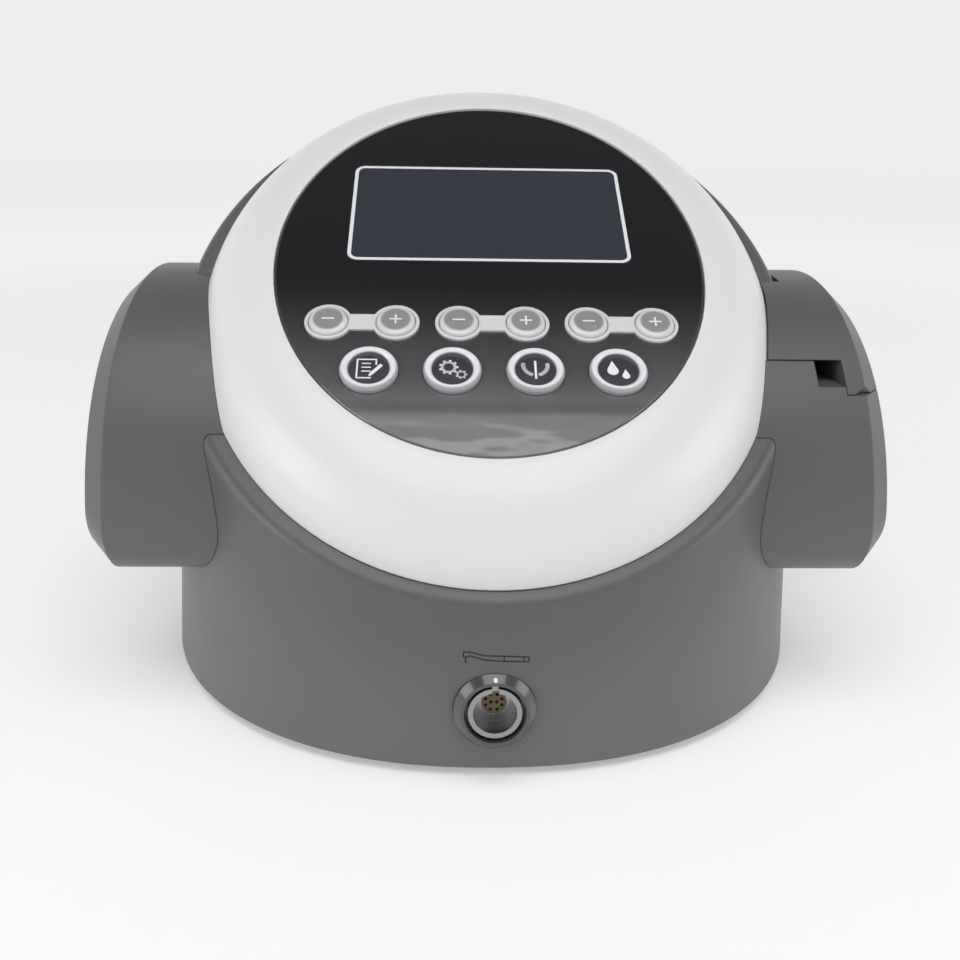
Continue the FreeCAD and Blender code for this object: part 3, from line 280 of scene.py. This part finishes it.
def step_key(node):
    """Grey cap with a lighter rim."""
    look = translucent(f"{node}_finish", (0.4, 0.4, 0.41))
    radius = look.from_axis(centre_of(node), FACE_NORMAL)
    rim = look.span(radius, 0.0, 1.0, STEP_CAP_RADIUS, STEP_RIM_RADIUS)
    look.shine(**{"Base Color": look.mix(rim, (0.27, 0.27, 0.28), (0.66, 0.66, 0.68))})
    look.relief(look.noise(700.0, 1.0), 0.08, 0.00003)
    return look.material


def round_key(node):
    """Clear rim round a dark sunken centre."""
    look = translucent(f"{node}_finish", (0.5, 0.5, 0.5), 0.18)
    radius = look.from_axis(centre_of(node), FACE_NORMAL)
    rim = look.span(radius, 0.0, 1.0, ROUND_CENTRE_RADIUS, ROUND_RIM_RADIUS)
    outer = look.span(radius, 0.0, 1.0, ROUND_SLOPE_RADIUS, ROUND_FOOT_RADIUS)
    light = look.mix(outer, (0.80, 0.81, 0.84), (0.40, 0.40, 0.42))
    look.shine(**{"Base Color": look.mix(rim, (0.030, 0.031, 0.038), light)})
    look.shine(**{"Subsurface Weight": look.calculate("MULTIPLY", rim, 0.35)})
    look.relief(look.noise(500.0, 1.0), 0.06, 0.00003)
    return look.material


def rubber():
    """Matt black rubber."""
    look = Look("rubber", (0.018, 0.018, 0.019), 0.75)
    look.shine(Roughness=look.span(look.noise(120.0), 0.65, 0.85))
    look.relief(look.noise(1800.0, 3.0), 0.5, 0.00006)
    return look.material


def turned_metal(name, color, roughness, point, axis):
    """Metal with the fine rings that a lathe leaves."""
    look = Look(name, color, roughness, metallic=1.0)
    turn_per_metre = 42000.0
    rings = look.calculate("SINE", look.calculate("MULTIPLY", look.from_axis(point, axis), turn_per_metre))
    look.shine(Roughness=look.span(look.noise(800.0), roughness - 0.05, roughness + 0.08))
    look.relief(rings, 0.10, 0.00001, 0.0002)
    return look.material


def circuit_board():
    """Green solder resist over faint copper tracks."""
    look = Look("circuit_board", (0.01, 0.09, 0.03), 0.35)
    tracks = look.span(look.noise(260.0, 0.0, (1.0, 0.2, 1.0)), 0.0, 1.0, 0.50, 0.54)
    look.shine(**{"Base Color": look.mix(tracks, (0.008, 0.07, 0.025), (0.02, 0.14, 0.05))})
    look.relief(tracks, 0.2, 0.00005)
    return look.material


def finishes():
    """The finish of each of the record's material slots."""
    made = {
        "grey_housing": grey_housing(),
        "white_cover": white_cover(),
        "gasket": rubber(),
        "black_panel": black_panel(),
        "lens": window_lens(),
        "display": plastic("display_glass", (0.03, 0.035, 0.045), 0.15, coat=0.5),
        "board": circuit_board(),
        "switch": plastic("switch_plastic", (0.02, 0.02, 0.02), 0.45),
        "key_plate": key_plate(),
        "base": plastic("base_paint", (0.10, 0.10, 0.105), 0.50, 0.4),
        "steel": metal("steel", (0.56, 0.56, 0.57), 0.30, (1.0, 0.15, 1.0)),
        "dark_metal": plastic("dark_flange", (0.060, 0.061, 0.066), 0.22, 0.08, coat=0.6),
        "insulator": plastic("insulator", (0.20, 0.155, 0.075), 0.45),
        "gold_contact": metal("gold_contact", (0.80, 0.58, 0.26), 0.25),
        "brass": metal("brass", (0.74, 0.55, 0.26), 0.28),
        "roller_plastic": plastic("roller_plastic", (0.70, 0.70, 0.67), 0.35),
        "black_plastic": plastic("black_plastic", (0.020, 0.020, 0.021), 0.42, 0.4),
        "motor_steel": metal("plated_steel", (0.40, 0.40, 0.41), 0.38),
        "glass": plastic("fuse_glass", (0.55, 0.58, 0.58), 0.10, 0.05, coat=1.0),
    }
    made["foot_rubber"] = made["gasket"]
    return made


# ---------------------------------------------------------------- places on the console


def centre_of(node):
    """Middle of a CAD node."""
    low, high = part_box(node)
    return (low + high) / 2


def surface_of(node):
    """A tree that finds where a ray meets a CAD node."""
    return BVHTree.FromObject(frame["nodes"][node], bpy.context.evaluated_depsgraph_get())


# ---------------------------------------------------------------- printed icons


class Drawing:
    """Flat artwork in millimetres about its own centre."""

    def __init__(self):
        self.points = []
        self.faces = []

    def shape(self, corners):
        """A filled outline."""
        first = len(self.points)
        self.points += corners
        self.faces.append(range(first, first + len(corners)))

    def fan(self, centre, corners):
        """A filled outline that every part of can be seen from its centre."""
        for start, end in zip(corners, corners[1:] + corners[:1]):
            self.shape([centre, start, end])

    def line(self, points, width):
        """A stroke through points."""
        for (x1, y1), (x2, y2) in zip(points, points[1:]):
            length = math.hypot(x2 - x1, y2 - y1)
            dx, dy = (y1 - y2) / length * width / 2, (x2 - x1) / length * width / 2
            steps = math.ceil(length / STROKE_STEP)
            spots = [(x1 + (x2 - x1) * n / steps, y1 + (y2 - y1) * n / steps) for n in range(steps + 1)]
            for (a, b), (c, d) in zip(spots, spots[1:]):
                self.shape([(a - dx, b - dy), (c - dx, d - dy), (c + dx, d + dy), (a + dx, b + dy)])
        for point in points[1:-1]:
            self.disc(point, width / 2, 8)

    def disc(self, centre, radius, count=24):
        """A filled circle."""
        self.fan(centre, [around(centre, radius, 360 * number / count) for number in range(count)])

    def arc(self, centre, radius, start, end, width, count=14):
        """A stroke along part of a circle, between two angles."""
        step = (end - start) / count
        self.line([around(centre, radius, start + step * number) for number in range(count + 1)], width)

    def gear(self, centre, radius, teeth):
        """A toothed ring."""
        self.arc(centre, radius, 0, 360, radius * 0.42, 28)
        for number in range(teeth):
            angle = 360 * number / teeth
            self.line([around(centre, radius, angle), around(centre, radius * 1.5, angle)], radius * 0.42)

    def drop(self, centre, radius):
        """A falling drop."""
        corners = [around(centre, radius, angle) for angle in range(-200, 25, 15)]
        self.fan(centre, corners + [(centre[0], centre[1] + radius * 2.3)])


def around(centre, radius, angle):
    """A point on a circle, at an angle in degrees."""
    turn = math.radians(angle)
    return centre[0] + radius * math.cos(turn), centre[1] + radius * math.sin(turn)


def minus_icon():
    """Minus sign."""
    art = Drawing()
    art.line([(-1.9, 0), (1.9, 0)], 0.6)
    return art


def plus_icon():
    """Plus sign."""
    art = minus_icon()
    art.line([(0, -1.9), (0, 1.9)], 0.6)
    return art


def memory_icon():
    """Sheet of paper with lines on it and a pencil across its corner."""
    art = Drawing()
    art.line([(0.8, -3.6), (-3.4, -3.6), (-3.4, 3.6), (2.1, 3.6), (2.1, 1.5)], 0.5)
    for height in (2.0, 0.5, -1.0):
        art.line([(-2.1, height), (0.6, height)], 0.42)
    art.line([(3.7, 1.6), (0.8, -2.0)], 1.1)
    art.shape([(0.3, -1.6), (0.0, -3.1), (1.2, -2.4)])
    return art


def gear_icon():
    """Two meshed gears."""
    art = Drawing()
    art.gear((-1.1, 0.8), 1.9, 9)
    art.gear((2.6, -2.0), 1.15, 7)
    return art


def direction_icon():
    """Bar between two broad horns that sweep up and away to both sides."""
    art = Drawing()
    art.line([(0, -3.4), (0, 3.6)], 0.7)
    for side in (-1, 1):
        art.arc((side * -0.4, 1.9), 4.0, 90 - side * 160, 90 - side * 80, 1.2)
    return art


def coolant_icon():
    """Two drops."""
    art = Drawing()
    art.drop((-1.6, 0.0), 1.7)
    art.drop((2.1, -2.0), 1.15)
    return art


def handpiece_icon():
    """Outline of a slender handpiece with its angled head to the left."""
    art = Drawing()
    art.line([(9.0, 0.3), (2.2, 0.7), (-3.4, 0.9), (-7.0, 1.9), (-8.9, 1.9), (-8.9, 0.3), (-7.7, 0.3)], 0.4)
    art.line([(9.0, 0.3), (9.0, -1.2), (2.2, -0.9), (-3.2, -0.5), (-7.2, 0.8), (-7.7, 0.3)], 0.4)
    art.line([(7.6, -1.1), (7.6, 0.35)], 0.34)
    art.line([(2.2, -0.9), (2.2, 0.7)], 0.34)
    art.line([(-8.3, 0.3), (-8.3, -1.5)], 0.45)
    return art


def index_dot():
    """Round mark."""
    art = Drawing()
    art.disc((0, 0), 0.55)
    return art


def print_on(node, body, name, art, origin, right, up, ink):
    """Lay a drawing on a CAD node's surface, to move with its body."""
    tree = surface_of(node)
    outward = right.cross(up)
    vertices = []
    for x, y in art.points:
        start = origin + (right * x + up * y) * MILLIMETRE + outward * RAY_START
        spot = tree.ray_cast(start, -outward, 3 * RAY_START)[0]
        if spot is None:
            raise RuntimeError(f"{name} misses {node}")
        vertices.append(spot + outward * PRINT_LIFT)
    mesh = bpy.data.meshes.new(name)
    mesh.from_pydata(vertices, [], [list(face) for face in art.faces])
    mesh.materials.append(ink)
    piece = bpy.data.objects.new(name, mesh)
    bpy.context.scene.collection.objects.link(piece)
    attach(piece, body)


def ink(name, color):
    """Matt printing ink, a little uneven."""
    look = Look(name, color, 0.45)
    look.shine(**{"Base Color": look.mottle(color, 0.05, 900.0)})
    return look.material


def print_icons():
    """Every printed mark: signs and icons on the keys, the socket's dot and the handpiece above it."""
    light, dark = ink("white_print", PRINT_WHITE), ink("black_print", PRINT_BLACK)
    marks = {
        "memory": memory_icon(),
        "gear": gear_icon(),
        "direction": direction_icon(),
        "coolant": coolant_icon(),
    }
    for pair in ("program", "speed", "torque"):
        marks[f"{pair}_minus"] = minus_icon()
        marks[f"{pair}_plus"] = plus_icon()
    for key, art in marks.items():
        node = f"{key}_key"
        print_on(node, node, f"{key}_icon", art, on_top(node), ACROSS, UPSLOPE, light)
    low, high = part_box("socket_flange")
    socket = Vector((0, low.y, (low.z + high.z) / 2))
    dot = socket + DOT_FROM_AXIS * SOCKET_UP
    print_on("socket_flange", "console", "socket_index_dot", index_dot(), dot, ACROSS, SOCKET_UP, light)
    wall_up = Vector((0, 0, 1))
    above = socket + MARK_ABOVE_SOCKET * wall_up
    print_on("lower_housing", "console", "handpiece_mark", handpiece_icon(), above, ACROSS, wall_up, dark)


def on_top(node):
    """A point on a key's axis, at the height of its top."""
    centre = centre_of(node)
    tops = [FACE_NORMAL.dot(vertex.co - centre) for vertex in frame["nodes"][node].data.vertices]
    return centre + max(tops) * FACE_NORMAL


# ---------------------------------------------------------------- dressing the console


def dress():
    """Give every CAD node the finish of its slot, and the keys their own."""
    made = finishes()
    slots = {part["node"]: part["material_slot"] for part in frame["record"]["subparts"]}
    socket = centre_of("socket_flange")
    holder = centre_of("pole_holder")
    own = {
        "socket_shell": turned_metal("socket_steel", (0.32, 0.32, 0.33), 0.24, socket, SOCKET_AXIS),
        "pole_holder": turned_metal("pole_steel", (0.56, 0.56, 0.57), 0.26, holder, (0, 0, 1)),
    }
    for node, piece in frame["nodes"].items():
        if slots[node] == "step_key":
            finish = step_key(node)
        elif slots[node] == "round_key":
            finish = round_key(node)
        else:
            finish = own.get(node) or made[slots[node]]
        piece.data.materials.clear()
        piece.data.materials.append(finish)


# ---------------------------------------------------------------- stage, lights and camera


def floor():
    """Plain pale table top with a painted glow (emission) that brightens it away from the console to meet
    the room.
    """
    bpy.ops.mesh.primitive_plane_add(size=24)
    plane = bpy.context.object
    plane.name = "floor"
    look = Look("floor_finish", FLOOR_GREY, 0.55)
    look.shine(**{"Base Color": look.mottle(FLOOR_GREY, 0.01, 3.0)})
    # painted glow: emission on the floor, weaker near the console and stronger far away, which also lights
    # the console from below
    painted_floor_glow = look.span(look.from_axis((0, 0, 0), (0, 0, 1)), 0.28, 0.50, 0.25, 1.6)
    look.shine(**{"Emission Color": (1.0, 1.0, 1.0, 1.0), "Emission Strength": painted_floor_glow})
    plane.data.materials.append(look.material)


def room_light():
    """Even light from the walls of the room, with a darker ceiling."""
    world = bpy.data.worlds.new("room")
    bpy.context.scene.world = world
    world.use_nodes = True
    nodes, links = world.node_tree.nodes, world.node_tree.links
    direction = nodes.new("ShaderNodeTexCoord").outputs["Generated"]
    split = nodes.new("ShaderNodeSeparateXYZ")
    fade = nodes.new("ShaderNodeMapRange")
    fade.interpolation_type = "SMOOTHSTEP"
    for socket, amount in zip(("From Min", "From Max", "To Min", "To Max"), (0.25, 0.85, 0.85, 0.10)):
        fade.inputs[socket].default_value = amount
    links.new(direction, split.inputs[0])
    links.new(split.outputs["Z"], fade.inputs["Value"])
    links.new(fade.outputs[0], nodes["Background"].inputs["Strength"])
    nodes["Background"].inputs["Color"].default_value = (1.0, 1.0, 1.0, 1.0)


def softbox(name, location, target, size, power):
    """Rectangular lamp aimed at a point."""
    lamp = bpy.data.lights.new(name, "AREA")
    lamp.shape = "RECTANGLE"
    lamp.size, lamp.size_y = size
    lamp.energy = power
    piece = bpy.data.objects.new(name, lamp)
    piece.location = location
    piece.rotation_euler = (Vector(target) - Vector(location)).to_track_quat("-Z", "Y").to_euler()
    bpy.context.scene.collection.objects.link(piece)


def lights():
    """A broad lamp overhead and in front, and a weaker one on each side."""
    middle = (0, 0, 0.08)
    softbox("overhead_lamp", (0, -0.36, 1.25), (0, -0.30, 0.0), (1.1, 0.85), 8.0)
    softbox("left_lamp", (-1.1, -0.5, 0.55), middle, (0.6, 0.6), 3.0)
    softbox("right_lamp", (1.1, -0.3, 0.55), middle, (0.6, 0.6), 2.4)


def camera():
    """Camera in front of the console and above it, a little to its left."""
    data = bpy.data.cameras.new("camera")
    data.sensor_width = 36
    data.lens = CAMERA_LENS
    data.shift_x, data.shift_y = CAMERA_SHIFT
    data.clip_start = 0.01
    piece = bpy.data.objects.new("camera", data)
    pan = Matrix.Rotation(CAMERA_PAN, 4, "Z")
    tilt = Matrix.Rotation(math.pi / 2 - CAMERA_TILT, 4, "X")
    roll = Matrix.Rotation(CAMERA_ROLL, 4, "Z")
    piece.matrix_world = Matrix.Translation(CAMERA_PLACE) @ pan @ tilt @ roll
    bpy.context.scene.collection.objects.link(piece)
    bpy.context.scene.camera = piece


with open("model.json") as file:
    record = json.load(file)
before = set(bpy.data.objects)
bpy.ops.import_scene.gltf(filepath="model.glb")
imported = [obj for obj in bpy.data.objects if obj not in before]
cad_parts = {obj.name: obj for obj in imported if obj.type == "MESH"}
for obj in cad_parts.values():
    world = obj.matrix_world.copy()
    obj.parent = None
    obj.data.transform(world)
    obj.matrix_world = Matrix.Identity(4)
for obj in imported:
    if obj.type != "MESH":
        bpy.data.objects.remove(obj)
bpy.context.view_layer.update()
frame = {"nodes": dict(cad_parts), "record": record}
dress()
print_icons()
floor()
room_light()
lights()
camera()
bpy.context.scene.view_settings.view_transform = "Standard"
